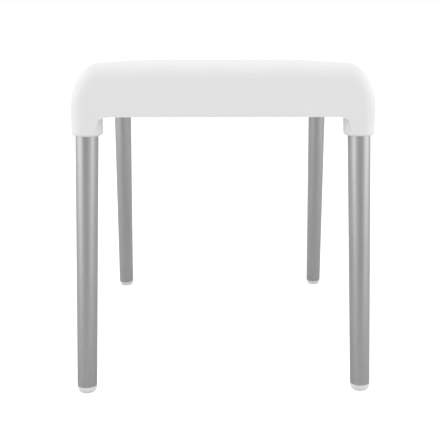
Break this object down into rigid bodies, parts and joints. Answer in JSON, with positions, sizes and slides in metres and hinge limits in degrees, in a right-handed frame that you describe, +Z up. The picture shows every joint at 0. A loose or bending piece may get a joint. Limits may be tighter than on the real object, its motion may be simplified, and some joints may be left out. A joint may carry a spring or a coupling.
{
  "type": "shower stool",
  "caption": "Square shower stool: a moulded white plastic seat with deep aprons on splayed tapered aluminium legs with soft domed feet.",
  "frame": {"origin": "on the floor, under the middle of the seat", "axes": "+Z up, the front faces -Y, +X to the right of a person looking at the front; the feet stand further apart front to back than side to side"},
  "size_m": [0.4086, 0.4614, 0.445],
  "materials": {
    "seat_plastic": "satin white moulded polypropylene with a fine grain",
    "leg_aluminium": "satin anodised",
    "foot_plastic": "milky white soft elastomer",
    "plug_plastic": "natural moulded nylon",
    "screw_steel": "stainless steel"
  },
  "bodies": {
    "root": {"seat_shell": "seat_plastic", "front_left_leg": "leg_aluminium", "front_left_leg_plug": "plug_plastic", "front_left_fixing_screw": "screw_steel", "front_left_screw_washer": "screw_steel", "front_left_foot_cap": "foot_plastic", "front_right_leg": "leg_aluminium", "front_right_leg_plug": "plug_plastic", "front_right_fixing_screw": "screw_steel", "front_right_screw_washer": "screw_steel", "front_right_foot_cap": "foot_plastic", "rear_left_leg": "leg_aluminium", "rear_left_leg_plug": "plug_plastic", "rear_left_fixing_screw": "screw_steel", "rear_left_screw_washer": "screw_steel", "rear_left_foot_cap": "foot_plastic", "rear_right_leg": "leg_aluminium", "rear_right_leg_plug": "plug_plastic", "rear_right_fixing_screw": "screw_steel", "rear_right_screw_washer": "screw_steel", "rear_right_foot_cap": "foot_plastic"}
  },
  "joints": []
}
